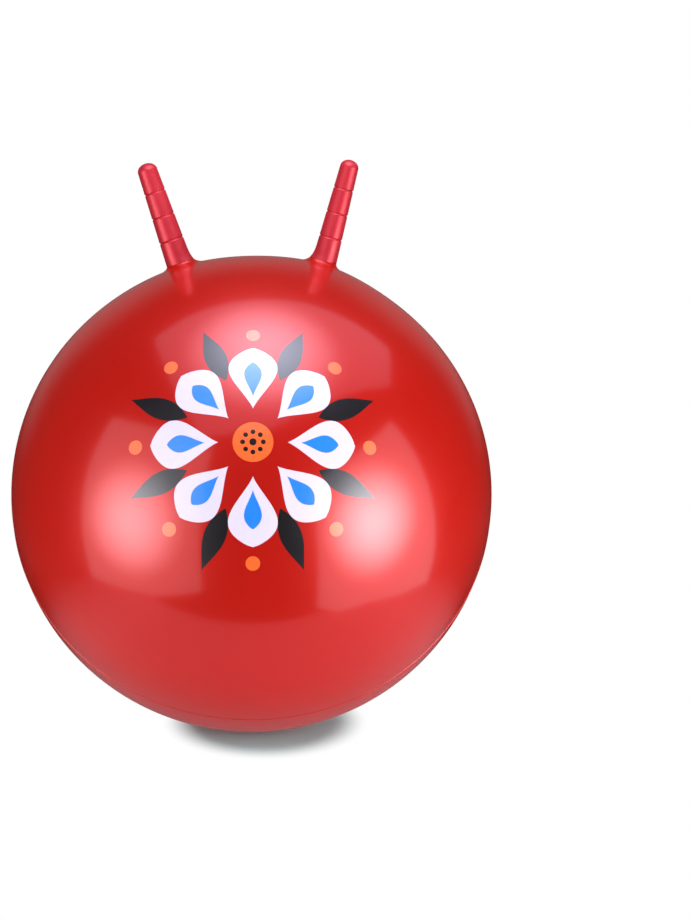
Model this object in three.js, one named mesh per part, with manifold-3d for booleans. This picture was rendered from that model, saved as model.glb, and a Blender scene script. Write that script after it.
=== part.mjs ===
// A hopper ball: an inflated skin with two hollow, grooved horns to hold and a push-in valve at the back.
// Millimetres, +Z up. The origin is the middle of the flat patch that the floor presses into the
// underside. The front faces -Y, and the horns lean out towards -X and +X.

import * as THREE from 'three';
import { mergeVertices } from 'three/addons/utils/BufferGeometryUtils.js';
import Module from 'manifold-3d';

// Driving dimensions

const BALL_WIDTH = 450; // inflated diameter, side to side
const BALL_HEIGHT = 446; // inflated diameter, top to bottom, before the floor flattens it
const PATCH_DEPTH = 2; // how far the floor presses the underside in
const SKIN_WALL = 1;
const CLEARANCE = 0.3; // gap between pieces that fit together

const HORN_LENGTH = 95.5; // from the joint with the skin to the tip
const HORN_ROOT_RADIUS = 11.75;
const HORN_TIP_RADIUS = 8.8; // where the rounded end starts
const HORN_WALL = 2.2;
const DOME_HEIGHT = 5.5; // the rounded end of a horn
const SPIGOT_LENGTH = 9; // the lower end of a horn, inside the skin's collar
const COLLAR_WALL = 2; // the skin's rim around the spigot
const NECK_HEIGHT = 5.2; // from the ball to the joint
const NECK_FILLET = 7; // how far the skin flares where it runs up to the collar
const FIRST_GROOVE = 22; // from the joint
const GROOVE_PITCH = 23;
const GROOVE_COUNT = 3;
const GROOVE_WIDTH = 2;
const GROOVE_DEPTH = 0.7;

// The horns are soft, so each stands a little differently. Angles are from the vertical, in degrees.
// Girth and rise multiply the radii and the neck height.
const HORNS = [
  { name: 'left_horn', side: -1, rootAngle: 17.5, lean: 18.8, girth: 1.03, rise: 0.8 },
  { name: 'right_horn', side: 1, rootAngle: 16.8, lean: 14.5, girth: 0.97, rise: 1.2 },
];

const VALVE_ELEVATION = 20; // degrees above level that the valve faces, at the back of the ball
const SEAT_RADIUS = 6.5; // outside of the nozzle that goes through the skin
const SEAT_LENGTH = 14; // how far the nozzle reaches into the ball
const SEAT_PROUD = 0.6; // how far its mouth stands out of the skin
const FLANGE_RADIUS = 16; // bonded under the skin
const FLANGE_THICKNESS = 1.2;
const BORE_MOUTH_RADIUS = 3.8;
const BORE_END_RADIUS = 3.1;
const PLUG_HEAD_RADIUS = 7.5;
const PLUG_HEAD_THICKNESS = 1.8;
const PLUG_LENGTH = 17; // from under the head to the tip
const PLUG_RIB_COUNT = 3;
const PLUG_RIB_HEIGHT = 0.5;
const EDGE_CHAMFER = 0.5;

// How finely the round surfaces are divided

const BALL_SEGMENTS = 56;
const BALL_ROWS = 27;
const HORN_SEGMENTS = 28;
const VALVE_SEGMENTS = 24;
const FILLET_STEPS = 4;
const DOME_STEPS = 4;

// Sizes that follow from the ones above

const ballRadius = BALL_WIDTH / 2;
const ballHalfHeight = BALL_HEIGHT / 2;
const ballCentre = new THREE.Vector3(0, 0, ballHalfHeight - PATCH_DEPTH);
const patchAngle = Math.acos(1 - PATCH_DEPTH / ballHalfHeight);
const tightestCurve = Math.min(ballRadius, ballHalfHeight) ** 2 / Math.max(ballRadius, ballHalfHeight);
const domeStart = HORN_LENGTH - DOME_HEIGHT;
const rowAngle = (Math.PI - patchAngle) / BALL_ROWS;
// The most that the flats of the ball lie inside its true curve.
const flatSag = ballRadius * (2 - Math.cos(Math.PI / BALL_SEGMENTS) - Math.cos(rowAngle / 2));
const footSink = flatSag + CLEARANCE;

// Materials

const glossyRed = new THREE.MeshStandardMaterial({ color: 0xc0211c, roughness: 0.18, metalness: 0 });
const satinRed = new THREE.MeshStandardMaterial({ color: 0xcc3038, roughness: 0.5, metalness: 0 });
const softRed = new THREE.MeshStandardMaterial({ color: 0xa81c18, roughness: 0.4, metalness: 0 });
const milkyWhite = new THREE.MeshStandardMaterial({ color: 0xe6e2d8, roughness: 0.35, metalness: 0 });

// Solids that are joined and cut

const wasm = await Module();
wasm.setup();

function solidFrom(geometry) {
  const bare = geometry.clone();
  bare.deleteAttribute('normal');
  bare.deleteAttribute('uv');
  const merged = mergeVertices(bare, 1e-4);
  const corners = merged.index.array;
  const triangles = [];
  for (let i = 0; i < corners.length; i += 3) {
    const [a, b, c] = corners.slice(i, i + 3);
    if (a !== b && b !== c && c !== a) {
      triangles.push(a, b, c);
    }
  }
  return new wasm.Manifold(
    new wasm.Mesh({
      numProp: 3,
      vertProperties: new Float32Array(merged.attributes.position.array),
      triVerts: new Uint32Array(triangles),
    }),
  );
}

function geometryFrom(solid) {
  const mesh = solid.getMesh();
  const geometry = new THREE.BufferGeometry();
  geometry.setAttribute('position', new THREE.BufferAttribute(mesh.vertProperties, 3));
  geometry.setIndex(new THREE.BufferAttribute(mesh.triVerts, 1));
  geometry.computeVertexNormals();
  return geometry;
}

// Shapes turned around an upright axis. The outline climbs on its outer side.

function turned(outline, segments) {
  const points = outline.map(([radius, height]) => new THREE.Vector2(radius, height));
  return new THREE.LatheGeometry(points, segments).rotateX(Math.PI / 2);
}

// A closed surface over rings of points, drawn together to a single point at each end.

function ringed(bottom, rings, top) {
  const count = rings[0].length;
  const points = [bottom, ...rings.flat(), top];
  const last = points.length - 1;
  const triangles = [];
  for (let i = 0; i < count; i += 1) {
    const next = (i + 1) % count;
    triangles.push(0, 1 + next, 1 + i);
    for (let row = 0; row < rings.length - 1; row += 1) {
      const below = 1 + row * count;
      const above = below + count;
      triangles.push(below + i, below + next, above + next);
      triangles.push(below + i, above + next, above + i);
    }
    triangles.push(last, last - count + i, last - count + next);
  }
  const geometry = new THREE.BufferGeometry().setFromPoints(points);
  geometry.setIndex(triangles);
  return geometry;
}

// The ball

function ballSolid(inset) {
  const width = ballRadius - inset;
  const height = ballHalfHeight - inset;
  const outline = [[0, inset]];
  for (let row = 0; row < BALL_ROWS; row += 1) {
    const angle = patchAngle + row * rowAngle;
    const level = row === 0 ? inset : ballCentre.z - height * Math.cos(angle);
    outline.push([width * Math.sin(angle), level]);
  }
  outline.push([0, ballCentre.z + height]);
  return solidFrom(turned(outline, BALL_SEGMENTS));
}

// The point on the ball, set in by a depth, that lies under a point outside it.
function ontoBall(point, depth) {
  const away = point.clone().sub(ballCentre);
  const width = ballRadius - depth;
  const height = ballHalfHeight - depth;
  const reach = Math.hypot(away.x / width, away.y / width, away.z / height);
  return away.divideScalar(reach).add(ballCentre);
}

// The horns

function directionAt(angle, side) {
  const turn = THREE.MathUtils.degToRad(angle) * side;
  return new THREE.Vector3(Math.sin(turn), 0, Math.cos(turn));
}

// The middle of the joint between a horn and the skin's collar.
function hornRoot(horn) {
  const outward = directionAt(horn.rootAngle, horn.side);
  return ontoBall(ballCentre.clone().add(outward), 0).addScaledVector(outward, NECK_HEIGHT * horn.rise);
}

function hornTurn(horn) {
  return THREE.MathUtils.degToRad(horn.lean) * horn.side;
}

function hornRadius(horn, height) {
  return horn.girth * THREE.MathUtils.lerp(HORN_ROOT_RADIUS, HORN_TIP_RADIUS, height / domeStart);
}

function collarRadius(horn) {
  return hornRadius(horn, 0) - COLLAR_WALL;
}

// The rounded end of a horn, set in from its outer surface, from the rim to just below the tip.
function domeOutline(horn, inset) {
  const outline = [];
  for (let step = 0; step < DOME_STEPS; step += 1) {
    const angle = ((Math.PI / 2) * step) / DOME_STEPS;
    const radius = (hornRadius(horn, domeStart) - inset) * Math.cos(angle);
    outline.push([radius, domeStart + (DOME_HEIGHT - inset) * Math.sin(angle)]);
  }
  return outline;
}

// A hollow horn, closed at the tip and open to the ball's air through its spigot.
function hornMesh(horn) {
  const lower = CLEARANCE;
  const spigotRadius = collarRadius(horn) - CLEARANCE;
  const outline = [
    [0, HORN_LENGTH - HORN_WALL],
    ...domeOutline(horn, HORN_WALL).reverse(),
    [spigotRadius - HORN_WALL, -SPIGOT_LENGTH],
    [spigotRadius - EDGE_CHAMFER, -SPIGOT_LENGTH],
    [spigotRadius, EDGE_CHAMFER - SPIGOT_LENGTH],
    [spigotRadius, lower],
    [hornRadius(horn, lower) - EDGE_CHAMFER, lower],
    [hornRadius(horn, lower + EDGE_CHAMFER), lower + EDGE_CHAMFER],
  ];
  for (let groove = 0; groove < GROOVE_COUNT; groove += 1) {
    const height = FIRST_GROOVE + groove * GROOVE_PITCH;
    outline.push([hornRadius(horn, height - GROOVE_WIDTH / 2), height - GROOVE_WIDTH / 2]);
    outline.push([hornRadius(horn, height) - GROOVE_DEPTH, height]);
    outline.push([hornRadius(horn, height + GROOVE_WIDTH / 2), height + GROOVE_WIDTH / 2]);
  }
  outline.push(...domeOutline(horn, 0), [0, HORN_LENGTH]);
  const mesh = new THREE.Mesh(turned(outline, HORN_SEGMENTS), satinRed);
  mesh.name = horn.name;
  mesh.position.copy(hornRoot(horn));
  mesh.rotation.y = hornTurn(horn);
  return mesh;
}

// The neck that flares from the ball up to a ring around the horn's axis. The foot lies at a depth in the ball.
function neckSolid(horn, ringRadius, ringHeight, footDepth, cornerDepth) {
  const place = new THREE.Matrix4().makeRotationY(hornTurn(horn)).setPosition(hornRoot(horn));
  const onAxis = (height) => new THREE.Vector3(0, 0, height).applyMatrix4(place);
  const ring = (radius, height) =>
    Array.from({ length: HORN_SEGMENTS }, (_, i) => {
      const angle = (2 * Math.PI * i) / HORN_SEGMENTS;
      const point = new THREE.Vector3(radius * Math.sin(angle), -radius * Math.cos(angle), height);
      return point.applyMatrix4(place);
    });

  const top = ring(ringRadius, ringHeight);
  const flares = ring(hornRadius(horn, 0) + NECK_FILLET, 0).map((point, i) => {
    const foot = ontoBall(point, footDepth);
    const corner = ontoBall(top[i], cornerDepth);
    return new THREE.QuadraticBezierCurve3(foot, corner, top[i]).getPoints(FILLET_STEPS);
  });
  const rings = Array.from({ length: FILLET_STEPS + 1 }, (_, step) => flares.map((flare) => flare[step]));
  const bottom = ontoBall(onAxis(0), footDepth + NECK_FILLET);
  return solidFrom(ringed(bottom, rings, onAxis(ringHeight)));
}

function neckOutside(horn) {
  return neckSolid(horn, hornRadius(horn, 0), 0, footSink, 0);
}

// The hollow runs out through the top of the collar.
function neckHollow(horn) {
  const depth = SKIN_WALL + footSink;
  return neckSolid(horn, collarRadius(horn), NECK_FILLET, depth, depth);
}

// The valve, drawn about its own axis: height 0 is the outside of the skin and heights below it are inside.

const valveTurn = THREE.MathUtils.degToRad(VALVE_ELEVATION);

// The point of the ball whose outward normal is the way that the valve faces.
function valvePoint() {
  const back = ballRadius * Math.cos(valveTurn);
  const up = ballHalfHeight * Math.sin(valveTurn);
  const reach = Math.hypot(back, up);
  return new THREE.Vector3(0, (back * ballRadius) / reach, (up * ballHalfHeight) / reach).add(ballCentre);
}

function placeOnValve(object) {
  object.position.copy(valvePoint());
  object.rotation.x = valveTurn - Math.PI / 2;
  object.updateMatrix();
  return object;
}

function boreRadius(depth) {
  return THREE.MathUtils.lerp(BORE_MOUTH_RADIUS, BORE_END_RADIUS, depth / SEAT_LENGTH);
}

// The upper face of the flange lies under the curve of the skin.
function flangeHeight(radius) {
  return -SKIN_WALL - footSink - radius ** 2 / (2 * tightestCurve);
}

function seatMesh() {
  const outline = [
    [BORE_END_RADIUS, -SEAT_LENGTH],
    [SEAT_RADIUS - EDGE_CHAMFER, -SEAT_LENGTH],
    [SEAT_RADIUS, -SEAT_LENGTH + EDGE_CHAMFER],
    [SEAT_RADIUS, flangeHeight(SEAT_RADIUS) - FLANGE_THICKNESS],
    [FLANGE_RADIUS, flangeHeight(FLANGE_RADIUS) - FLANGE_THICKNESS],
    [FLANGE_RADIUS, flangeHeight(FLANGE_RADIUS)],
    [SEAT_RADIUS, flangeHeight(SEAT_RADIUS)],
    [SEAT_RADIUS, SEAT_PROUD - EDGE_CHAMFER],
    [SEAT_RADIUS - EDGE_CHAMFER, SEAT_PROUD],
    [boreRadius(-SEAT_PROUD), SEAT_PROUD],
    [BORE_END_RADIUS, -SEAT_LENGTH],
  ];
  const mesh = new THREE.Mesh(turned(outline, VALVE_SEGMENTS), softRed);
  mesh.name = 'valve_seat';
  return placeOnValve(mesh);
}

function plugMesh() {
  const headBottom = SEAT_PROUD + CLEARANCE;
  const headTop = headBottom + PLUG_HEAD_THICKNESS;
  const tip = headBottom - PLUG_LENGTH;
  const ribPitch = SEAT_LENGTH / (PLUG_RIB_COUNT + 1);
  const ribRadius = (height) => boreRadius(-height) - CLEARANCE;
  const stemRadius = (height) => ribRadius(height) - PLUG_RIB_HEIGHT;
  const outline = [
    [0, tip],
    [stemRadius(-SEAT_LENGTH) - EDGE_CHAMFER, tip],
    [stemRadius(-SEAT_LENGTH), tip + EDGE_CHAMFER],
  ];
  for (let rib = PLUG_RIB_COUNT; rib > 0; rib -= 1) {
    const height = -rib * ribPitch;
    outline.push([stemRadius(height), height - PLUG_RIB_HEIGHT]);
    outline.push([ribRadius(height), height]);
    outline.push([stemRadius(height), height + PLUG_RIB_HEIGHT]);
  }
  outline.push(
    [stemRadius(0), headBottom],
    [PLUG_HEAD_RADIUS - EDGE_CHAMFER, headBottom],
    [PLUG_HEAD_RADIUS, headBottom + EDGE_CHAMFER],
    [PLUG_HEAD_RADIUS, headTop - EDGE_CHAMFER],
    [PLUG_HEAD_RADIUS - EDGE_CHAMFER, headTop],
    [0, headTop],
  );
  const mesh = new THREE.Mesh(turned(outline, VALVE_SEGMENTS), milkyWhite);
  mesh.name = 'valve_plug';
  return placeOnValve(mesh);
}

// The skin, with its hollow and the hole that the nozzle comes out of

function valveHole() {
  const radius = SEAT_RADIUS + CLEARANCE;
  const upright = new THREE.CylinderGeometry(radius, radius, 2 * SEAT_LENGTH, VALVE_SEGMENTS).rotateX(Math.PI / 2);
  return solidFrom(upright.applyMatrix4(placeOnValve(new THREE.Object3D()).matrix));
}

function skinMesh() {
  let skin = ballSolid(0);
  let hollow = ballSolid(SKIN_WALL);
  for (const horn of HORNS) {
    skin = skin.add(neckOutside(horn));
    hollow = hollow.add(neckHollow(horn));
  }
  const mesh = new THREE.Mesh(geometryFrom(skin.subtract(hollow).subtract(valveHole())), glossyRed);
  mesh.name = 'ball_skin';
  return mesh;
}

const hopperBall = new THREE.Group();
hopperBall.add(skinMesh(), ...HORNS.map(hornMesh), seatMesh(), plugMesh());

export default hopperBall;
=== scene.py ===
"""A red hopper ball with two hollow horns and a push-in valve, in plain studio light.

Everything is in metres in the part's own frame: +Z up, the floor at height 0, the printed front towards -Y.
"""

import math

import bmesh
import bpy
from mathutils import Matrix, Vector
from mathutils.geometry import delaunay_2d_cdt


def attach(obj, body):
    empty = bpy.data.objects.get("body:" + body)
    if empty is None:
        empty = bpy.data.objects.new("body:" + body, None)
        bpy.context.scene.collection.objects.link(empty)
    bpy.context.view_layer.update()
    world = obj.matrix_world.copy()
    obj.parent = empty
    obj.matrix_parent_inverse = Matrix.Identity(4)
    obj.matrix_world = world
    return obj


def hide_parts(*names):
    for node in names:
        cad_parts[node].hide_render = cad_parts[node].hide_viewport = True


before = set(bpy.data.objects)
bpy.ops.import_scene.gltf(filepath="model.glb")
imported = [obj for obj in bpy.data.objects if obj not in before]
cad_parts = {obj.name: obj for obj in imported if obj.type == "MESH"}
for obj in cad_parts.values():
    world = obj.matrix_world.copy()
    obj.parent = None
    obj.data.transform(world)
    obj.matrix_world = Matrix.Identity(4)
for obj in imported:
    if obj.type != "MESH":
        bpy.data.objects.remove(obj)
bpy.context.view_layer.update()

UP = Vector((0, 0, 1))
MM = 0.001

# Sizes of the part, as in its source

BALL_WIDTH = 450 * MM
BALL_HEIGHT = 446 * MM
PATCH_DEPTH = 2 * MM
SKIN_WALL = 1 * MM
CLEARANCE = 0.3 * MM

HORN_LENGTH = 95.5 * MM
HORN_ROOT_RADIUS = 11.75 * MM
HORN_TIP_RADIUS = 8.8 * MM
HORN_WALL = 2.2 * MM
DOME_HEIGHT = 5.5 * MM
SPIGOT_LENGTH = 9 * MM
COLLAR_WALL = 2 * MM
NECK_HEIGHT = 5.2 * MM
FIRST_GROOVE = 22 * MM
GROOVE_PITCH = 23 * MM
GROOVE_COUNT = 3
GROOVE_WIDTH = 2 * MM
HORNS = [
    {"node": "left_horn", "side": -1, "root_angle": 17.5, "lean": 18.8, "girth": 1.03, "rise": 0.8},
    {"node": "right_horn", "side": 1, "root_angle": 16.8, "lean": 14.5, "girth": 0.97, "rise": 1.2},
]

VALVE_ELEVATION = math.radians(20)
SEAT_RADIUS = 6.5 * MM
SEAT_LENGTH = 14 * MM
SEAT_PROUD = 0.6 * MM
FLANGE_RADIUS = 16 * MM
FLANGE_THICKNESS = 1.2 * MM
BORE_MOUTH_RADIUS = 3.8 * MM
BORE_END_RADIUS = 3.1 * MM
PLUG_HEAD_RADIUS = 7.5 * MM
PLUG_HEAD_THICKNESS = 1.8 * MM
PLUG_LENGTH = 17 * MM
PLUG_RIB_COUNT = 3
PLUG_RIB_HEIGHT = 0.5 * MM
EDGE_CHAMFER = 0.5 * MM

# Details that only the looks need

PATCH_ANGLE = math.acos(1 - 2 * PATCH_DEPTH / BALL_HEIGHT)
BALL_COLUMNS = 280
BALL_ROWS = 140
PATCH_RINGS = 6
FILLET_STEPS = 10
HORN_SEGMENTS = 96
VALVE_SEGMENTS = 64
DOME_STEPS = 14
SHARP_ANGLE = math.radians(38)  # an edge that turns more than this stays crisp
STRAIGHT_ANGLE = math.radians(160)  # a corner that is opener than this isn't rounded
CORNER_SHARE = 0.45  # the most of a side that a rounded corner takes
TINY = 1e-7  # a shorter length counts as none
CUT_TOLERANCE = 1e-6  # points this close to a cut count as on it
MERGE_GAP = 0.4 * MM  # points on the edge of a hole that are closer than this become one
HOLE_REACH = 1.5  # times a hole's radius, within which its edge is looked for

TIP_ROUND = 7 * MM  # the height over which a horn's tip is rounded
GROOVE_DEPTH = 0.9 * MM  # a little more than in the source
LIP_HEIGHT = 0.12 * MM  # the raised edge above each groove
LIP_WIDTH = 1.6 * MM
HORN_EDGE_ROUND = 0.25 * MM
JOINT_LINE = 0.1 * MM  # the fine gap that shows between a horn and its collar
HORN_FLARE = {"left_horn": 1.8 * MM, "right_horn": 2.8 * MM}  # of the inner side of a horn's foot
FLARE_HEIGHT = 15 * MM  # how far up a horn the swelling on its inner side reaches
FLARE_STEP = 1.5 * MM
FLARE_FOCUS = 1.5  # how closely the swelling keeps to the inner side
FLARE_FADE = 3  # how fast it gets less with height
HORN_BULGE = {"left_horn": 0.6 * MM, "right_horn": 2.6 * MM}  # of the skin around a horn
BULGE_SPREAD = 50 * MM  # about a third of the bulge is left this far from a horn
FILLET_OUTER = 5.5 * MM
FILLET_INNER = 10 * MM
NECK_DROP = 3.5 * MM  # from the collar to where its line meets the ball, about

FLANGE_DEPTH = 2 * MM  # from the outside of the skin to the nozzle's flange
NOZZLE_EDGE_ROUND = 0.3 * MM
DISH_DEPTH = 0.4 * MM  # in the plug's head
DISH_RIM = 0.72  # share of the head's radius
DISH_FLOOR = 0.62

SEAM_ELEVATION = math.radians(-54.6)  # where the mould's parting line crosses the front
SEAM_WIDTH = 0.9 * MM
SEAM_HEIGHT = 0.32 * MM
SEAM_STEPS = 360

PRINT_ELEVATION = math.radians(21)  # the middle of the print, on the front
INK_STEP = 0.04 * MM  # each ink stands this much above the one under it
INK_DEPTH = 0.08 * MM  # how far a patch of ink reaches into the skin
INK_SPACING = 5 * MM  # between the inner points of a patch of ink
PETAL_COUNT = 8

semi_axes = Vector((BALL_WIDTH / 2, BALL_WIDTH / 2, BALL_HEIGHT / 2))
centre = Vector((0, 0, BALL_HEIGHT / 2 - PATCH_DEPTH))
dome_start = HORN_LENGTH - DOME_HEIGHT


# The ball's surface


def facing(azimuth, elevation):
    """A direction. Azimuth 0 is the front and turns towards +X."""
    level = math.cos(elevation)
    return Vector((math.sin(azimuth) * level, -math.cos(azimuth) * level, math.sin(elevation)))


def root_direction(horn):
    """From the ball's middle to the foot of a horn."""
    return facing(math.radians(90) * horn["side"], math.radians(90 - horn["root_angle"]))


def on_spheroid(direction):
    """The point of the plain ball in a direction from its middle."""
    return centre + direction / Vector(d / s for d, s in zip(direction, semi_axes)).length


def on_skin(direction):
    """The point of the ball as it is drawn up a little around the horns."""
    direction = direction.normalized()
    bulge = 0
    for horn in HORNS:
        away = direction.angle(root_direction(horn)) * semi_axes.x / BULGE_SPREAD
        bulge += HORN_BULGE[horn["node"]] * math.exp(-away * away)
    return on_spheroid(direction) + direction * bulge


def ball_normal(direction):
    """The normal of the skin in a direction, from two short steps along it."""
    step = 1e-3
    direction = direction.normalized()
    aside = direction.orthogonal().normalized() * step
    beside = direction.cross(aside)
    here = on_skin(direction)
    return (on_skin(direction + aside) - here).cross(on_skin(direction + beside) - here).normalized()


def on_ball(direction, lift=0.0):
    """The point of the skin in a direction from the ball's middle, raised along the normal."""
    if lift == 0:
        return on_skin(direction)
    return on_skin(direction) + ball_normal(direction) * lift


def chart(direction):
    """A function from distances right and up of a place on the ball, along its skin, to a point."""
    right = UP.cross(direction).normalized()
    up = direction.cross(right)

    def place(across, upward, lift):
        distance = math.hypot(across, upward)
        if distance == 0:
            return on_ball(direction, lift)
        angle = 2 * distance / BALL_WIDTH
        aside = (right * across + up * upward) / distance
        return on_ball(direction * math.cos(angle) + aside * math.sin(angle), lift)

    return place


# Meshes


def new_object(name, content):
    made = bpy.data.objects.new(name, content)
    bpy.context.scene.collection.objects.link(made)
    return made


def piece_from(bm, name, body, node, surface):
    """Makes a piece of a body out of a bmesh. Edges that turn sharply stay crisp."""
    bmesh.ops.recalc_face_normals(bm, faces=bm.faces)
    for face in bm.faces:
        face.smooth = True
    for edge in bm.edges:
        if len(edge.link_faces) == 2 and edge.calc_face_angle() > SHARP_ANGLE:
            edge.smooth = False
    mesh = bpy.data.meshes.new(name)
    bm.to_mesh(mesh)
    bm.free()
    mesh.materials.append(surface)
    piece = new_object(name, mesh)
    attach(piece, body)
    if node:
        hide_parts(node)


def around(radius, turn, height):
    """A point at a turn around an upright axis. Turn 0 is the front and a quarter turn is +X."""
    return Vector((radius * math.sin(turn), -radius * math.cos(turn), height))


def turned(outline, segments, place, swell=None):
    """A bmesh of an outline turned around its own upright axis. It starts and ends on the axis or closes.

    Swell gives what is added to the radius at a turn and a height.
    """
    bm = bmesh.new()
    rings = []
    turns = [2 * math.pi * i / segments for i in range(segments)]
    for radius, height in outline:
        if radius < TINY:
            rings.append([bm.verts.new(place @ Vector((0, 0, height)))] * segments)
            continue
        extra = [swell(turn, height) if swell else 0 for turn in turns]
        points = [around(radius + more, turn, height) for turn, more in zip(turns, extra)]
        rings.append([bm.verts.new(place @ point) for point in points])
    if outline[0][0] > TINY:
        rings.append(rings[0])
    for lower, upper in zip(rings, rings[1:]):
        for i in range(segments):
            j = (i + 1) % segments
            corners = list(dict.fromkeys([lower[i], lower[j], upper[j], upper[i]]))
            bm.faces.new(corners)
    return bm


def rounded(outline, radius, steps=3):
    """The outline with its corners taken off in small curves."""
    points = [Vector(point) for point in outline]
    result = [tuple(points[0])]
    for before, corner, after in zip(points, points[1:], points[2:]):
        back, on = before - corner, after - corner
        if back.angle(on) > STRAIGHT_ANGLE:
            result.append(tuple(corner))
            continue
        start = corner + back.normalized() * min(radius, back.length * CORNER_SHARE)
        end = corner + on.normalized() * min(radius, on.length * CORNER_SHARE)
        for step in range(steps + 1):
            t = step / steps
            result.append(tuple(start * (1 - t) ** 2 + corner * 2 * t * (1 - t) + end * t * t))
    result.append(tuple(points[-1]))
    return result


# The skin


def horn_radius(horn, height):
    share = height / dome_start
    return horn["girth"] * (HORN_ROOT_RADIUS + (HORN_TIP_RADIUS - HORN_ROOT_RADIUS) * share)


def horn_swell(horn):
    """The swelling of a horn's foot on the side that faces the other horn."""
    inner_turn = -horn["side"] * math.pi / 2

    def swell(turn, height):
        share = 1 - min(height / FLARE_HEIGHT, 1)
        toward = 0.5 + 0.5 * math.cos(turn - inner_turn)
        return HORN_FLARE[horn["node"]] * toward ** FLARE_FOCUS * share ** FLARE_FADE

    return swell


def horn_place(horn):
    """The frame of a horn: its origin is the middle of the joint with the skin, its Z runs to the tip."""
    outward = root_direction(horn)
    root = on_spheroid(outward) + outward * (NECK_HEIGHT * horn["rise"])
    turn = Matrix.Rotation(math.radians(horn["lean"]) * horn["side"], 4, "Y")
    return Matrix.Translation(root) @ turn


def valve_place():
    """The frame of the valve: its origin is on the skin and its Z points out of the ball."""
    outward = facing(math.pi, VALVE_ELEVATION)
    support = Vector(s * s * d for s, d in zip(semi_axes, outward))
    point = on_spheroid(support)
    return Matrix.Translation(point) @ Matrix.Rotation(VALVE_ELEVATION - math.pi / 2, 4, "X")


def ball_grid():
    """The whole ball as rings of faces, with the flat patch that the floor makes."""
    bm = bmesh.new()
    rows = []
    patch_radius = semi_axes.x * math.sin(PATCH_ANGLE)
    turns = [2 * math.pi * i / BALL_COLUMNS for i in range(BALL_COLUMNS)]
    for ring in range(1, PATCH_RINGS):
        radius = patch_radius * ring / PATCH_RINGS
        rows.append([bm.verts.new((radius * math.cos(t), radius * math.sin(t), 0)) for t in turns])
    for row in range(BALL_ROWS):
        angle = PATCH_ANGLE + (math.pi - PATCH_ANGLE) * row / BALL_ROWS
        radius = semi_axes.x * math.sin(angle)
        height = centre.z - semi_axes.z * math.cos(angle)
        points = [Vector((radius * math.cos(t), radius * math.sin(t), height)) for t in turns]
        rows.append([bm.verts.new(on_ball(point - centre)) for point in points])
    for lower, upper in zip(rows, rows[1:]):
        for i in range(BALL_COLUMNS):
            j = (i + 1) % BALL_COLUMNS
            bm.faces.new((lower[i], lower[j], upper[j], upper[i]))
    bottom = bm.verts.new((0, 0, 0))
    crown = bm.verts.new(on_ball(UP))
    for i in range(BALL_COLUMNS):
        j = (i + 1) % BALL_COLUMNS
        bm.faces.new((bottom, rows[0][j], rows[0][i]))
        bm.faces.new((rows[-1][i], rows[-1][j], crown))
    return bm


def cut_round(bm, direction, radius):
    """Cuts a round hole in the ball and returns the points of its edge, set back on the true surface."""
    direction = direction.normalized()
    angle = radius / semi_axes.x
    aside = direction.orthogonal().normalized()
    rim = on_ball(direction * math.cos(angle) + aside * math.sin(angle))
    bmesh.ops.bisect_plane(
        bm,
        geom=bm.verts[:] + bm.edges[:] + bm.faces[:],
        dist=CUT_TOLERANCE,
        plane_co=rim,
        plane_no=direction,
        clear_outer=True,
    )
    near = radius * HOLE_REACH
    middle = on_ball(direction)
    edge = [v for v in bm.verts if v.is_boundary and (v.co - middle).length < near]
    bmesh.ops.remove_doubles(bm, verts=edge, dist=MERGE_GAP)
    edge = [v for v in bm.verts if v.is_boundary and (v.co - middle).length < near]
    for vertex in edge:
        vertex.co = on_ball(vertex.co - centre)
    return edge


def rounded_corner(start, corner, end, t):
    """A point of an even curve that leaves its start and reaches its end along the lines to a corner."""
    handle = 0.55
    leaving = start.lerp(corner, handle)
    arriving = end.lerp(corner, handle)
    s = 1 - t
    return start * s ** 3 + leaving * 3 * s * s * t + arriving * 3 * s * t * t + end * t ** 3


def raise_neck(bm, horn):
    """Flares the skin up from a round hole to the collar under a horn."""
    place = horn_place(horn)
    inverse = place.inverted()
    swell = horn_swell(horn)
    wide = FILLET_INNER + HORN_FLARE[horn["node"]]
    foot_radius = horn_radius(horn, 0) + (wide + FILLET_OUTER) / 2
    inward = Vector((-horn["side"], 0, 0)) * (wide - FILLET_OUTER) / 2
    foot = cut_round(bm, place.translation + inward - centre, foot_radius)

    def turn_of(vertex):
        local = inverse @ vertex.co
        return math.atan2(local.x, -local.y)

    foot.sort(key=turn_of)
    flares = []
    for vertex in foot:
        turn = turn_of(vertex)
        top = place @ around(horn_radius(horn, 0) + swell(turn, 0), turn, 0)
        below = place @ around(horn_radius(horn, 0) + swell(turn, -NECK_DROP), turn, -NECK_DROP)
        normal = ball_normal(vertex.co - centre)
        corner = on_ball(below - centre)
        corner -= normal * (corner - vertex.co).dot(normal)
        flare = [vertex]
        for step in range(1, FILLET_STEPS + 1):
            t = step / FILLET_STEPS
            flare.append(bm.verts.new(rounded_corner(vertex.co, corner, top, t)))
        flares.append(flare)
    for i, flare in enumerate(flares):
        beside = flares[(i + 1) % len(flares)]
        for step in range(FILLET_STEPS):
            bm.faces.new((flare[step], beside[step], beside[step + 1], flare[step + 1]))


def thicken(bm, wall):
    """Gives the skin its inner side and joins the two around every opening."""
    bm.normal_update()
    outer = bm.faces[:]
    rims = [edge.link_loops[0] for edge in bm.edges if edge.is_boundary]
    rims = [(loop.vert, loop.link_loop_next.vert) for loop in rims]
    inner = {vertex: bm.verts.new(vertex.co - vertex.normal * wall) for vertex in bm.verts[:]}
    for face in outer:
        bm.faces.new([inner[vertex] for vertex in reversed(face.verts)])
    for first, second in rims:
        bm.faces.new((second, first, inner[first], inner[second]))


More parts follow.
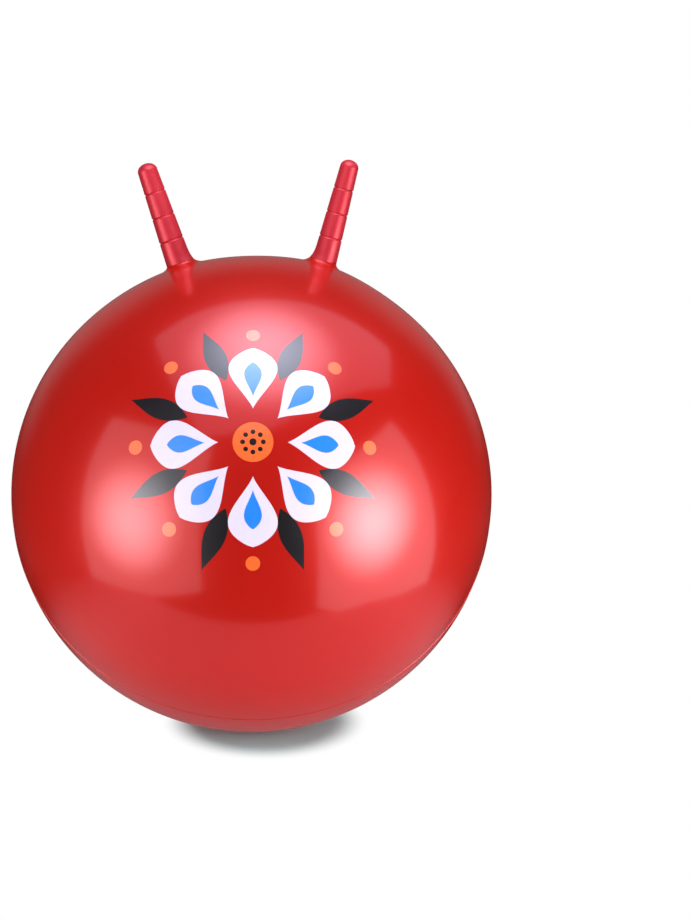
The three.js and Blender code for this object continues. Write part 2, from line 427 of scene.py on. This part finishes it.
def make_skin(surface):
    bm = ball_grid()
    for horn in HORNS:
        raise_neck(bm, horn)
    cut_round(bm, valve_place().translation - centre, SEAT_RADIUS + CLEARANCE)
    bmesh.ops.recalc_face_normals(bm, faces=bm.faces)
    thicken(bm, SKIN_WALL)
    piece_from(bm, "skin", "ball", "ball_skin", surface)


def make_seam(surface):
    """The fine raised line that the two halves of the mould leave right round the ball."""
    low = facing(0, SEAM_ELEVATION)
    side = Vector((1, 0, 0))
    across = low.cross(side)
    # Each point of the bead as shares of its half width and its height
    bead = [(-1, -0.5), (-0.9, 0.25), (-0.5, 0.8), (0, 1), (0.5, 0.8), (0.9, 0.25), (1, -0.5)]
    bm = bmesh.new()
    rings = []
    for step in range(SEAM_STEPS):
        turn = 2 * math.pi * step / SEAM_STEPS
        along = low * math.cos(turn) + side * math.sin(turn)
        places = [(along + across * (x * SEAM_WIDTH / BALL_WIDTH), z * SEAM_HEIGHT) for x, z in bead]
        rings.append([bm.verts.new(on_ball(direction, lift)) for direction, lift in places])
    for i, ring in enumerate(rings):
        beside = rings[(i + 1) % SEAM_STEPS]
        for j in range(len(bead)):
            k = (j + 1) % len(bead)
            bm.faces.new((ring[j], beside[j], beside[k], ring[k]))
    piece_from(bm, "mould_seam", "ball", None, surface)


# The horns


def dome_outline(horn, inset):
    outline = []
    start = HORN_LENGTH - TIP_ROUND
    for step in range(DOME_STEPS):
        angle = math.pi / 2 * step / DOME_STEPS
        radius = (horn_radius(horn, start) - inset) * math.cos(angle)
        outline.append((radius, start + (TIP_ROUND - inset) * math.sin(angle)))
    return outline


def make_horn(horn, surface):
    spigot = horn_radius(horn, 0) - COLLAR_WALL - CLEARANCE
    half = GROOVE_WIDTH / 2
    inside = [(0, HORN_LENGTH - HORN_WALL), *reversed(dome_outline(horn, HORN_WALL))]
    outside = [
        (spigot - HORN_WALL, -SPIGOT_LENGTH),
        (spigot, -SPIGOT_LENGTH),
        (spigot, JOINT_LINE),
        (horn_radius(horn, JOINT_LINE), JOINT_LINE),
    ]
    for step in range(1, int(FLARE_HEIGHT / FLARE_STEP) + 1):
        outside.append((horn_radius(horn, step * FLARE_STEP), step * FLARE_STEP))
    for groove in range(GROOVE_COUNT):
        height = FIRST_GROOVE + groove * GROOVE_PITCH
        lip_end = height + half + LIP_WIDTH
        outside.append((horn_radius(horn, height - half), height - half))
        outside.append((horn_radius(horn, height) - GROOVE_DEPTH, height))
        outside.append((horn_radius(horn, height + half) + LIP_HEIGHT, height + half))
        outside.append((horn_radius(horn, lip_end), lip_end))
    below_tip = HORN_LENGTH - TIP_ROUND - half
    outside.append((horn_radius(horn, below_tip), below_tip))
    outside = rounded([inside[-1], *outside], HORN_EDGE_ROUND)[1:]
    outline = [*inside, *outside, *dome_outline(horn, 0), (0, HORN_LENGTH)]
    swell = horn_swell(horn)
    bm = turned(outline, HORN_SEGMENTS, horn_place(horn), lambda turn, height: swell(turn, max(height, 0)))
    piece_from(bm, horn["node"] + "_grip", "ball", horn["node"], surface)


# The valve


def bore_radius(depth):
    return BORE_MOUTH_RADIUS + (BORE_END_RADIUS - BORE_MOUTH_RADIUS) * depth / SEAT_LENGTH


def make_seat(surface):
    def flange_top(radius):
        return -FLANGE_DEPTH - radius ** 2 / BALL_WIDTH

    outline = [
        (BORE_END_RADIUS, -SEAT_LENGTH),
        (SEAT_RADIUS, -SEAT_LENGTH),
        (SEAT_RADIUS, flange_top(SEAT_RADIUS) - FLANGE_THICKNESS),
        (FLANGE_RADIUS, flange_top(FLANGE_RADIUS) - FLANGE_THICKNESS),
        (FLANGE_RADIUS, flange_top(FLANGE_RADIUS)),
        (SEAT_RADIUS, flange_top(SEAT_RADIUS)),
        (SEAT_RADIUS, SEAT_PROUD),
        (bore_radius(-SEAT_PROUD), SEAT_PROUD),
        (bore_radius(SEAT_LENGTH / 2), -SEAT_LENGTH / 2),
    ]
    bm = turned(rounded(outline, NOZZLE_EDGE_ROUND), VALVE_SEGMENTS, valve_place())
    piece_from(bm, "valve_nozzle", "ball", "valve_seat", surface)


def make_plug(surface):
    head_bottom = SEAT_PROUD + CLEARANCE
    head_top = head_bottom + PLUG_HEAD_THICKNESS
    tip = head_bottom - PLUG_LENGTH

    def stem_radius(height):
        return bore_radius(-height) - CLEARANCE - PLUG_RIB_HEIGHT

    outline = [(0, tip), (stem_radius(-SEAT_LENGTH), tip)]
    for rib in range(PLUG_RIB_COUNT, 0, -1):
        height = -rib * SEAT_LENGTH / (PLUG_RIB_COUNT + 1)
        outline.append((stem_radius(height), height - PLUG_RIB_HEIGHT))
        outline.append((stem_radius(height) + PLUG_RIB_HEIGHT, height))
        outline.append((stem_radius(height), height + PLUG_RIB_HEIGHT))
    outline += [
        (stem_radius(0), head_bottom),
        (PLUG_HEAD_RADIUS, head_bottom),
        (PLUG_HEAD_RADIUS, head_top),
        (PLUG_HEAD_RADIUS * DISH_RIM, head_top),
        (PLUG_HEAD_RADIUS * DISH_FLOOR, head_top - DISH_DEPTH),
        (0, head_top - DISH_DEPTH),
    ]
    bm = turned(rounded(outline, EDGE_CHAMFER), VALVE_SEGMENTS, valve_place())
    piece_from(bm, "valve_stopper", "plug", "valve_plug", surface)


# The print: a folk rosette in flat inks


def turned_by(outline, angle):
    c, s = math.cos(angle), math.sin(angle)
    return [(x * c + y * s, y * c - x * s) for x, y in outline]


def drop(inner, outer, width, skew, roundness, steps=36):
    """A pointed drop along +Y between two radii. Skew moves its widest place outwards."""
    sides = []
    for step in range(1, steps):
        t = step / steps
        half = width / 2 * math.sin(math.pi * t ** skew) ** roundness
        sides.append((half, inner + (outer - inner) * t))
    mirrored = [(-x, y) for x, y in reversed(sides)]
    return [(0, inner), *sides, (0, outer), *mirrored]


def disc(radius, distance=0.0, steps=36):
    """A round spot at a distance along +Y."""
    turns = [2 * math.pi * step / steps for step in range(steps)]
    return [(radius * math.sin(t), distance + radius * math.cos(t)) for t in turns]


def inked(name, outlines, level, surface):
    """Closed thin patches of one ink that follow the ball."""
    place = chart(facing(0, PRINT_ELEVATION))
    bm = bmesh.new()
    for outline in outlines:
        flat = [Vector(point) for point in outline]
        reach = max(point.length for point in flat)
        count = int(reach / INK_SPACING) + 1
        steps = range(-count, count + 1)
        grid = [Vector((i, j)) * INK_SPACING for i in steps for j in steps]
        border = list(range(len(flat)))
        inside_only = 1
        points, _, triangles, _, _, _ = delaunay_2d_cdt(flat + grid, [], [border], inside_only, TINY)
        used = sorted({corner for triangle in triangles for corner in triangle})
        top = {i: bm.verts.new(place(*points[i], level * INK_STEP)) for i in used}
        bottom = {i: bm.verts.new(place(*points[i], -INK_DEPTH)) for i in used}
        sides = []
        for a, b, c in triangles:
            bm.faces.new((top[a], top[b], top[c]))
            bm.faces.new((bottom[c], bottom[b], bottom[a]))
            sides += [(a, b), (b, c), (c, a)]
        present = set(sides)
        for first, second in sides:
            if (second, first) not in present:
                bm.faces.new((top[second], top[first], bottom[first], bottom[second]))
    piece_from(bm, name, "ball", None, surface)


def make_print(inks):
    step = 2 * math.pi / PETAL_COUNT
    petal = drop(inner=29 * MM, outer=88 * MM, width=42 * MM, skew=1.6, roundness=0.75)
    heart = drop(inner=40 * MM, outer=73 * MM, width=15 * MM, skew=1.6, roundness=0.8)
    leaf = drop(inner=60 * MM, outer=117 * MM, width=19 * MM, skew=0.8, roundness=1.15)
    tip = disc(radius=6.3 * MM, distance=102 * MM)
    seed = disc(radius=2 * MM, distance=8.6 * MM)
    middle = disc(radius=17 * MM)
    middle_seed = disc(radius=3 * MM)

    def ring(outline, first_turn=0.0):
        return [turned_by(outline, first_turn + step * i) for i in range(PETAL_COUNT)]

    inked("print_petals", ring(petal), level=2, surface=inks["lilac"])
    inked("print_leaves", ring(leaf, step / 2), level=2, surface=inks["black"])
    inked("print_hearts", ring(heart), level=3, surface=inks["blue"])
    inked("print_middle", [middle, *ring(tip)], level=2, surface=inks["orange"])
    inked("print_seeds", [middle_seed, *ring(seed)], level=3, surface=inks["black"])


# Shader nodes


def shader_tree(owner):
    """The empty node tree of a material or world."""
    owner.use_nodes = True
    tree = owner.node_tree
    tree.nodes.clear()
    return tree


def feed(tree, socket, value):
    """Sets a socket to a value, or links it where the value is a socket itself."""
    if isinstance(value, bpy.types.NodeSocket):
        tree.links.new(value, socket)
    else:
        socket.default_value = value


def operate(tree, kind, operation, *values):
    """A node of a kind that has operations, fed with values."""
    node = tree.nodes.new(kind)
    node.operation = operation
    for socket, value in zip(node.inputs, values):
        feed(tree, socket, value)
    return node


def math_node(tree, operation, *values):
    return operate(tree, "ShaderNodeMath", operation, *values).outputs["Value"]


def vector_node(tree, operation, *values):
    return operate(tree, "ShaderNodeVectorMath", operation, *values).outputs["Vector"]


def distance_node(tree, place, spot):
    return operate(tree, "ShaderNodeVectorMath", "DISTANCE", place, spot).outputs["Value"]


def opposite(tree, share):
    """1 where a share is 0, and 0 where it is 1."""
    return math_node(tree, "SUBTRACT", 1, share)


def fall_off(tree, value, start, end):
    """1 up to a start, and from there smoothly down to 0 at an end."""
    fade = tree.nodes.new("ShaderNodeMapRange")
    fade.interpolation_type = "SMOOTHSTEP"
    fade.inputs["From Min"].default_value = start
    fade.inputs["From Max"].default_value = end
    fade.inputs["To Min"].default_value = 1
    fade.inputs["To Max"].default_value = 0
    tree.links.new(value, fade.inputs["Value"])
    return fade.outputs["Result"]


def blend(tree, share, first, second):
    """The first value where a share is 0 and the second where it is 1."""
    change = math_node(tree, "SUBTRACT", second, first)
    return math_node(tree, "ADD", first, math_node(tree, "MULTIPLY", share, change))


def mix_colour(tree, share, first, second):
    """The first colour where a share is 0, the second where it is 1. Each is three numbers or a socket."""
    mix = tree.nodes.new("ShaderNodeMix")
    mix.data_type = "RGBA"
    tree.links.new(share, mix.inputs[0])
    for socket, colour in zip(mix.inputs[6:8], (first, second)):
        feed(tree, socket, (*colour, 1) if isinstance(colour, tuple) else colour)
    return mix.outputs[2]


def stretched_distance(tree, place, stretch, middle):
    """How far a place is from a middle, where each axis counts as much as its stretch says."""
    moved = vector_node(tree, "SUBTRACT", place, (*middle, 0))
    scaled = vector_node(tree, "MULTIPLY", moved, (*stretch, 1))
    return operate(tree, "ShaderNodeVectorMath", "LENGTH", scaled).outputs["Value"]


# Materials


class Surface:
    """A principled material whose colour, roughness and relief vary over the object's own coordinates."""

    def __init__(self, name, colour, roughness, **sockets):
        self.material = bpy.data.materials.new(name)
        self.material.use_nodes = True
        self.tree = self.material.node_tree
        self.shader = self.tree.nodes["Principled BSDF"]
        self.place = self.tree.nodes.new("ShaderNodeTexCoord").outputs["Object"]
        self.shader.inputs["Base Color"].default_value = (*colour, 1)
        self.shader.inputs["Roughness"].default_value = roughness
        for socket, value in sockets.items():
            self.shader.inputs[socket.replace("_", " ")].default_value = value

    def noise(self, scale, detail, stretch=(1, 1, 1)):
        texture = self.tree.nodes.new("ShaderNodeTexNoise")
        texture.inputs["Scale"].default_value = scale
        texture.inputs["Detail"].default_value = detail
        mapping = self.tree.nodes.new("ShaderNodeMapping")
        mapping.inputs["Scale"].default_value = stretch
        self.tree.links.new(self.place, mapping.inputs["Vector"])
        self.tree.links.new(mapping.outputs["Vector"], texture.inputs["Vector"])
        return texture.outputs["Fac"]

    def away_from(self, spots, near, far):
        """0 within a near distance of any of the spots and 1 beyond a far one."""
        gaps = [distance_node(self.tree, self.place, spot) for spot in spots]
        nearest = gaps[0]
        for gap in gaps[1:]:
            nearest = math_node(self.tree, "MINIMUM", nearest, gap)
        return opposite(self.tree, fall_off(self.tree, nearest, near, far))

    def vary_colour(self, first, second, factor):
        self.tree.links.new(mix_colour(self.tree, factor, first, second), self.shader.inputs["Base Color"])

    def vary(self, socket, low, high, factor):
        spread = self.tree.nodes.new("ShaderNodeMapRange")
        spread.inputs["To Min"].default_value = low
        spread.inputs["To Max"].default_value = high
        self.tree.links.new(factor, spread.inputs["Value"])
        self.tree.links.new(spread.outputs["Result"], self.shader.inputs[socket])

    def relief(self, *layers):
        """Adds bumps. Each layer is a texture and the height of its bumps in metres."""
        below = None
        for factor, height in layers:
            bump = self.tree.nodes.new("ShaderNodeBump")
            bump.inputs["Distance"].default_value = height
            self.tree.links.new(factor, bump.inputs["Height"])
            if below:
                self.tree.links.new(below, bump.inputs["Normal"])
            below = bump.outputs["Normal"]
        self.tree.links.new(below, self.shader.inputs["Normal"])
        self.tree.links.new(below, self.shader.inputs["Coat Normal"])


GLOSS = {"Coat_Weight": 1, "Coat_IOR": 1.5, "Coat_Roughness": 0.13}
PEARL = {
    "IOR": 1.36,
    "Metallic": 0.28,
    "Sheen_Weight": 0.15,
    "Sheen_Roughness": 0.4,
    "Sheen_Tint": (1, 0.05, 0.03, 1),
}


def pearl_skin():
    """Pearl red under a clear gloss, which gives way to satin close to the horns."""
    skin = Surface("pearl_red_skin", colour=(0.485, 0.006, 0.0012), roughness=0.34, **PEARL, **GLOSS)
    clouds = skin.noise(scale=9, detail=4)
    skin.vary_colour((0.465, 0.0052, 0.0009), (0.505, 0.0068, 0.0015), clouds)
    skin.vary("Roughness", low=0.32, high=0.38, factor=skin.noise(scale=26, detail=5))
    roots = [horn_place(horn).translation for horn in HORNS]
    glossy = skin.away_from(roots, near=14 * MM, far=22 * MM)
    skin.vary("Coat Weight", low=0.2, high=1, factor=glossy)
    waves, grain = skin.noise(scale=14, detail=2), skin.noise(scale=700, detail=3)
    skin.relief((waves, 0.25 * MM), (grain, 0.003 * MM))
    return skin.material


def satin_horn():
    horn = Surface("satin_red_horn", colour=(0.5, 0.018, 0.028), roughness=0.36, IOR=1.5, Metallic=0.28)
    streaks = horn.noise(scale=60, detail=5, stretch=(1, 1, 0.25))
    horn.vary_colour((0.47, 0.015, 0.024), (0.53, 0.022, 0.034), streaks)
    horn.vary("Roughness", low=0.32, high=0.42, factor=horn.noise(scale=180, detail=4))
    horn.relief((horn.noise(scale=450, detail=2), 0.015 * MM))
    return horn.material


def soft_nozzle():
    nozzle = Surface("soft_red_nozzle", colour=(0.36, 0.010, 0.008), roughness=0.42)
    nozzle.vary_colour((0.33, 0.009, 0.007), (0.4, 0.013, 0.010), nozzle.noise(scale=300, detail=4))
    nozzle.vary("Roughness", low=0.36, high=0.5, factor=nozzle.noise(scale=700, detail=4))
    nozzle.relief((nozzle.noise(scale=2200, detail=3), 0.02 * MM))
    return nozzle.material


def milky_plug():
    milky = {"Subsurface_Weight": 0.25, "Subsurface_Scale": 4 * MM}
    plug = Surface("milky_plug", colour=(0.78, 0.76, 0.7), roughness=0.36, **milky)
    plug.vary_colour((0.74, 0.72, 0.65), (0.82, 0.8, 0.75), plug.noise(scale=350, detail=4))
    plug.vary("Roughness", low=0.3, high=0.42, factor=plug.noise(scale=900, detail=4))
    plug.relief((plug.noise(scale=2000, detail=3), 0.015 * MM))
    return plug.material


def ink(name, dark, light):
    """Printing ink under the same gloss as the skin, a little uneven as it was laid down."""
    surface = Surface("ink_" + name, colour=light, roughness=0.3, IOR=1.5, **GLOSS)
    surface.vary_colour(dark, light, surface.noise(scale=180, detail=5))
    surface.vary("Roughness", low=0.28, high=0.36, factor=surface.noise(scale=60, detail=4))
    waves, grain = surface.noise(scale=14, detail=2), surface.noise(scale=1200, detail=3)
    surface.relief((waves, 0.25 * MM), (grain, 0.004 * MM))
    return surface.material


# The studio

SOFTBOX_SPREAD = 0.48  # from the hottest place of a softbox to where it is evenly dim


def panel(name, corners):
    """A flat stage piece and the empty node tree of its material."""
    mesh = bpy.data.meshes.new(name)
    mesh.from_pydata([(x, y, 0) for x, y in corners], [], [list(range(len(corners)))])
    made = new_object(name, mesh)
    material = bpy.data.materials.new(name)
    mesh.materials.append(material)
    return made, shader_tree(material)


def softbox(name, azimuth, elevation, distance, up, corners, hot, bright, dim, colour, mirrored=True):
    """A lit panel that faces the ball and dims away from a hot place.

    Corners and the hot place are right and up of its middle as the ball sees it.
    """
    outward = facing(math.radians(azimuth), math.radians(elevation))
    up = (up - outward * up.dot(outward)).normalized()
    right = outward.cross(up)
    box, tree = panel(name, corners)
    axes = Matrix((right, up, -outward)).transposed().to_4x4()
    box.matrix_world = Matrix.Translation(centre + outward * distance) @ axes
    box.visible_camera = False
    box.visible_glossy = mirrored
    place = tree.nodes.new("ShaderNodeTexCoord").outputs["Object"]
    near_hot = fall_off(tree, distance_node(tree, place, (*hot, 0)), 0, SOFTBOX_SPREAD)
    glow = tree.nodes.new("ShaderNodeEmission")
    glow.inputs["Color"].default_value = (*colour, 1)
    out = tree.nodes.new("ShaderNodeOutputMaterial")
    tree.links.new(blend(tree, near_hot, dim, bright), glow.inputs["Strength"])
    tree.links.new(glow.outputs["Emission"], out.inputs["Surface"])


def make_floor():
    """A pale table lit from below. Away from the ball's shadow it runs into the white of the background."""
    left, right, back = -0.48, 0.65, 0.9
    front = [(left, -0.19), (-0.3, -0.325), (0.14, -0.325), (0.29, -0.265), (0.43, -0.135), (right, 0.2)]
    pale = (0.85, 0.85, 0.85)
    painted_red_bounce = (1, 0.82, 0.86)  # painted light: the red that the ball bounces onto the floor, as the gloss mirrors it
    shaded = (0.45, 0.8, 0.77)  # how the camera sees it, which evens out the red that falls on it
    mirrored_level, mirrored_glow = 0.34, 0.25
    glow_under, glow_beside = 0.42, 1.3
    tree = panel("floor", [*front, (right, back), (left, back)])[1]
    path = tree.nodes.new("ShaderNodeLightPath").outputs
    place = tree.nodes.new("ShaderNodeTexCoord").outputs["Object"]

    from_foot = stretched_distance(tree, place, stretch=(0.94, 0.735), middle=(0.012, 0))
    shadow = fall_off(tree, from_foot, start=0.06, end=0.094)
    from_ball = stretched_distance(tree, place, stretch=(0.72, 1), middle=(0.028, -0.1))
    beside = opposite(tree, fall_off(tree, from_ball, start=0.12, end=0.36))
    from_front = stretched_distance(tree, place, stretch=(1, 1.2), middle=(0.03, -0.22))
    mirrored = math_node(tree, "MULTIPLY", fall_off(tree, from_front, start=0.24, end=0.64), mirrored_level)

    matt = tree.nodes.new("ShaderNodeBsdfDiffuse")
    # In the gloss the floor's colour carries the painted red bounce light from the ball.
    bounced = mix_colour(tree, path["Is Glossy Ray"], pale, mix_colour(tree, mirrored, (0, 0, 0), painted_red_bounce))
    tree.links.new(mix_colour(tree, path["Is Camera Ray"], bounced, shaded), matt.inputs["Color"])
    under = tree.nodes.new("ShaderNodeEmission")
    # The floor's glow in the gloss carries the same painted red bounce light.
    tree.links.new(mix_colour(tree, path["Is Glossy Ray"], (1, 1, 1), painted_red_bounce), under.inputs["Color"])
    even = blend(tree, beside, glow_under, glow_beside)
    glow = blend(tree, path["Is Glossy Ray"], even, math_node(tree, "MULTIPLY", mirrored, mirrored_glow))
    tree.links.new(blend(tree, path["Is Camera Ray"], glow, 0), under.inputs["Strength"])
    table = tree.nodes.new("ShaderNodeAddShader")
    tree.links.new(matt.outputs["BSDF"], table.inputs[0])
    tree.links.new(under.outputs["Emission"], table.inputs[1])

    white = tree.nodes.new("ShaderNodeEmission")
    mix = tree.nodes.new("ShaderNodeMixShader")
    out = tree.nodes.new("ShaderNodeOutputMaterial")
    outside_shadow = math_node(tree, "MULTIPLY", path["Is Camera Ray"], opposite(tree, shadow))
    tree.links.new(outside_shadow, mix.inputs[0])
    tree.links.new(table.outputs["Shader"], mix.inputs[1])
    tree.links.new(white.outputs["Emission"], mix.inputs[2])
    tree.links.new(mix.outputs["Shader"], out.inputs["Surface"])


def make_world():
    """White behind the ball, a dim room elsewhere, and a fill on matt surfaces, stronger from behind."""
    room, backdrop_level = 0.01, 0.16
    fill, back_fill = 0.5, 1.1
    backdrop_half, backdrop_edge = math.radians(25), math.radians(52)
    backdrop_low, backdrop_top = 0.4, 0.75
    horizon_low, horizon_high = -0.1, 0.12
    behind_start, behind_end = 0.2, 0.9
    world = bpy.data.worlds.new("studio")
    bpy.context.scene.world = world
    tree = shader_tree(world)
    path = tree.nodes.new("ShaderNodeLightPath").outputs
    split = tree.nodes.new("ShaderNodeSeparateXYZ")
    tree.links.new(tree.nodes.new("ShaderNodeTexCoord").outputs["Generated"], split.inputs[0])
    x, y, z = split.outputs

    turn = math_node(tree, "ABSOLUTE", math_node(tree, "ARCTAN2", x, y))
    sector = fall_off(tree, turn, backdrop_half, backdrop_edge)
    backdrop = math_node(tree, "MULTIPLY", sector, fall_off(tree, z, backdrop_low, backdrop_top))
    below = fall_off(tree, z, horizon_low, horizon_high)
    backdrop = math_node(tree, "MULTIPLY", backdrop, blend(tree, below, backdrop_level, room))
    mirrored = math_node(tree, "MAXIMUM", backdrop, room)
    behind = opposite(tree, fall_off(tree, y, behind_start, behind_end))
    on_matt = blend(tree, behind, fill, back_fill)

    clear = math_node(tree, "MAXIMUM", path["Is Glossy Ray"], path["Is Transmission Ray"])
    level = blend(tree, path["Is Camera Ray"], blend(tree, clear, on_matt, mirrored), 1)
    glow = tree.nodes.new("ShaderNodeBackground")
    glow.inputs["Color"].default_value = (1, 1, 1, 1)
    out = tree.nodes.new("ShaderNodeOutputWorld")
    tree.links.new(level, glow.inputs["Strength"])
    tree.links.new(glow.outputs["Background"], out.inputs["Surface"])


def make_lights():
    """Three softboxes that the gloss mirrors, and one above and behind that it doesn't."""
    cool, blue = (1.0, 0.98, 1.06), (0.96, 0.98, 1.22)
    softbox(
        "softbox_left",
        azimuth=-52,
        elevation=0,
        distance=1.0,
        up=UP,
        corners=[(0.43, 0.64), (-0.65, 0.66), (-0.55, -0.7), (0.5, -0.62)],
        hot=(-0.02, -0.06),
        bright=7.4,
        dim=1.1,
        colour=cool,
    )
    softbox(
        "softbox_right",
        azimuth=62,
        elevation=-3,
        distance=1.0,
        up=UP,
        corners=[(0.8, 0.32), (-0.2, 0.66), (-0.6, -0.7), (0.55, -0.86)],
        hot=(0.21, -0.02),
        bright=12,
        dim=1.4,
        colour=cool,
    )
    softbox(
        "softbox_top",
        azimuth=15,
        elevation=75,
        distance=0.8,
        up=Vector((0, -1, 0)),
        corners=[(-0.62, -0.3), (0.78, -0.58), (0.86, -0.15), (0.06, 0.66), (-0.45, 0.72), (-0.5, 0.5)],
        hot=(0, 0.06),
        bright=6.5,
        dim=0.75,
        colour=blue,
    )
    softbox(
        "softbox_back",
        azimuth=180,
        elevation=60,
        distance=1.0,
        up=UP,
        corners=[(-0.25, -0.25), (0.25, -0.25), (0.25, 0.25), (-0.25, 0.25)],
        hot=(0, 0),
        bright=3,
        dim=3,
        colour=cool,
        mirrored=False,
    )


def make_camera():
    """The photograph's view. The ball's middle falls left of and below the middle of the picture."""
    frame_height = 920
    focal = 1902  # in pixels
    aside, below = 93.2, 33.9  # of the picture's middle, in pixels
    elevation = math.radians(10)
    distance = 4 * BALL_WIDTH
    camera = bpy.data.cameras.new("camera")
    camera.sensor_fit = "VERTICAL"
    camera.sensor_height = 36
    camera.lens = camera.sensor_height * focal / frame_height
    holder = new_object("camera", camera)
    pitch = math.pi / 2 - elevation + math.atan(below / focal)
    yaw = -math.atan(aside / focal)
    roll = -yaw * math.sin(elevation)
    turn = Matrix.Rotation(yaw, 4, "Z") @ Matrix.Rotation(pitch, 4, "X") @ Matrix.Rotation(roll, 4, "Z")
    holder.matrix_world = Matrix.Translation(centre + facing(0, elevation) * distance) @ turn
    bpy.context.scene.camera = holder


skin_surface = pearl_skin()
horn_surface = satin_horn()
make_skin(skin_surface)
make_seam(skin_surface)
for horn in HORNS:
    make_horn(horn, horn_surface)
make_seat(soft_nozzle())
make_plug(milky_plug())
make_print({
    "lilac": ink("lilac", dark=(0.62, 0.57, 0.66), light=(0.68, 0.62, 0.72)),
    "blue": ink("blue", dark=(0.008, 0.17, 0.72), light=(0.012, 0.22, 0.82)),
    "black": ink("black", dark=(0.004, 0.003, 0.004), light=(0.008, 0.006, 0.007)),
    "orange": ink("orange", dark=(0.80, 0.10, 0.012), light=(0.9, 0.14, 0.02)),
})
make_floor()
make_world()
make_lights()
make_camera()
bpy.context.scene.view_settings.view_transform = "Standard"
